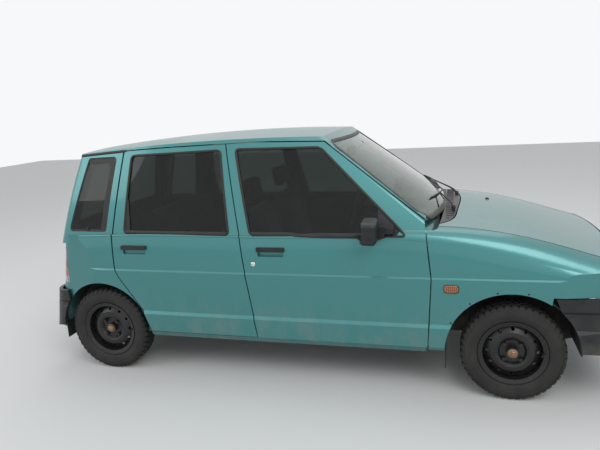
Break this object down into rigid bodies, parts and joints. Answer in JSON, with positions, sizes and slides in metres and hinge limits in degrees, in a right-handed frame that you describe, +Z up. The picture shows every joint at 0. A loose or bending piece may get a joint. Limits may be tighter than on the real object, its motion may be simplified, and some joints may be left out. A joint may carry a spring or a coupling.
{
  "type": "five-door city car",
  "caption": "Small five-door family car that rolls on wheels, with hinged doors, hood and tailgate, steered front wheels and a hollow cabin with seats.",
  "frame": {"origin": "on the ground, midway between the bumpers and between the two sides", "axes": "+X towards the front of the car, +Y towards its left side, +Z up"},
  "size_m": [3.34, 1.6862, 1.395],
  "materials": {
    "body_paint": "metallic teal",
    "window_glass": "tinted",
    "black_plastic": "matte",
    "lamp_lens": "clear",
    "amber_lens": "clear amber",
    "red_lens": "clear red",
    "underbody": "matte black",
    "engine_metal": "rough",
    "exhaust_metal": "dull",
    "interior_plastic": "grained",
    "seat_fabric": "woven",
    "wheel_steel": "satin black",
    "tyre_rubber": "matte",
    "flap_rubber": "matte"
  },
  "bodies": {
    "shell": {"cowl_panel": "black_plastic", "dashboard": "interior_plastic", "engine_block": "engine_metal", "exhaust": "exhaust_metal", "floor_pan": "underbody", "front_bumper": "black_plastic", "front_fenders": "body_paint", "front_seats": "seat_fabric", "front_structure": "underbody", "front_suspension": "underbody", "fuel_tank": "underbody", "grille": "black_plastic", "headlamps": "lamp_lens", "indicators": "amber_lens", "mud_flaps": "flap_rubber", "nose_panel": "body_paint", "quarter_glass": "window_glass", "radiator": "underbody", "rear_axle": "underbody", "rear_bumper": "black_plastic", "rear_panel": "body_paint", "rear_seat": "seat_fabric", "roof_panel": "body_paint", "side_frames": "body_paint", "tail_lamps": "red_lens", "wheelhouses": "underbody", "windscreen": "window_glass", "wipers": "black_plastic"},
    "hood": {"hood": "body_paint"},
    "tailgate": {"tailgate": "body_paint", "tailgate_glass": "window_glass"},
    "steering_wheel": {"steering_wheel": "interior_plastic"},
    "knuckle_left": {"knuckle_left": "underbody"},
    "door_front_left": {"door_front_left": "body_paint", "door_front_left_glass": "window_glass", "door_front_left_fittings": "black_plastic"},
    "wheel_front_left": {"rim_front_left": "wheel_steel", "tyre_front_left": "tyre_rubber"},
    "door_rear_left": {"door_rear_left": "body_paint", "door_rear_left_glass": "window_glass", "door_rear_left_fittings": "black_plastic"},
    "wheel_rear_left": {"rim_rear_left": "wheel_steel", "tyre_rear_left": "tyre_rubber"},
    "knuckle_right": {"knuckle_right": "underbody"},
    "door_front_right": {"door_front_right": "body_paint", "door_front_right_glass": "window_glass", "door_front_right_fittings": "black_plastic"},
    "wheel_front_right": {"rim_front_right": "wheel_steel", "tyre_front_right": "tyre_rubber"},
    "door_rear_right": {"door_rear_right": "body_paint", "door_rear_right_glass": "window_glass", "door_rear_right_fittings": "black_plastic"},
    "wheel_rear_right": {"rim_rear_right": "wheel_steel", "tyre_rear_right": "tyre_rubber"}
  },
  "joints": [
    {"name": "steer_right", "type": "hinge", "parent": "shell", "child": "knuckle_right", "pos_m": [1.065, -0.508, 0.256], "axis": [0, 0, 1], "range_deg": [-33, 33]},
    {"name": "steer_left", "type": "hinge", "parent": "shell", "child": "knuckle_left", "pos_m": [1.065, 0.508, 0.256], "axis": [0, 0, 1], "range_deg": [-33, 33]},
    {"name": "wheel_front_right_spin", "type": "hinge", "parent": "knuckle_right", "child": "wheel_front_right", "pos_m": [1.065, -0.61, 0.256], "axis": [0, 1, 0], "continuous": true},
    {"name": "wheel_front_left_spin", "type": "hinge", "parent": "knuckle_left", "child": "wheel_front_left", "pos_m": [1.065, 0.61, 0.256], "axis": [0, 1, 0], "continuous": true},
    {"name": "wheel_rear_right_spin", "type": "hinge", "parent": "shell", "child": "wheel_rear_right", "pos_m": [-1.27, -0.6, 0.256], "axis": [0, 1, 0], "continuous": true},
    {"name": "wheel_rear_left_spin", "type": "hinge", "parent": "shell", "child": "wheel_rear_left", "pos_m": [-1.27, 0.6, 0.256], "axis": [0, 1, 0], "continuous": true},
    {"name": "steering_wheel_turn", "type": "hinge", "parent": "shell", "child": "steering_wheel", "pos_m": [0.15, 0.3, 0.872], "axis": [-0.922, 0, 0.3872], "range_deg": [-528, 528]},
    {"name": "door_front_right_hinge", "type": "hinge", "parent": "shell", "child": "door_front_right", "pos_m": [0.667, -0.701, 0.65], "axis": [0, 0.1103, 0.9939], "range_deg": [0, 65]},
    {"name": "door_rear_right_hinge", "type": "hinge", "parent": "shell", "child": "door_rear_right", "pos_m": [-0.3315, -0.705, 0.65], "axis": [-0.1187, 0.089, 0.9889], "range_deg": [0, 68]},
    {"name": "door_front_left_hinge", "type": "hinge", "parent": "shell", "child": "door_front_left", "pos_m": [0.667, 0.701, 0.65], "axis": [0, 0.1103, -0.9939], "range_deg": [0, 65]},
    {"name": "door_rear_left_hinge", "type": "hinge", "parent": "shell", "child": "door_rear_left", "pos_m": [-0.3315, 0.705, 0.65], "axis": [0.1187, 0.089, -0.9889], "range_deg": [0, 68]},
    {"name": "hood_hinge", "type": "hinge", "parent": "shell", "child": "hood", "pos_m": [0.654, 0, 0.926], "axis": [0, -1, 0], "range_deg": [0, 55]},
    {"name": "tailgate_hinge", "type": "hinge", "parent": "shell", "child": "tailgate", "pos_m": [-1.442, 0, 1.319], "axis": [0, 1, 0], "range_deg": [0, 75]}
  ],
  "couplings": [
    {"joint": "steer_right", "follows": "steer_left", "ratio": 1},
    {"joint": "steering_wheel_turn", "follows": "steer_left", "ratio": 16}
  ]
}
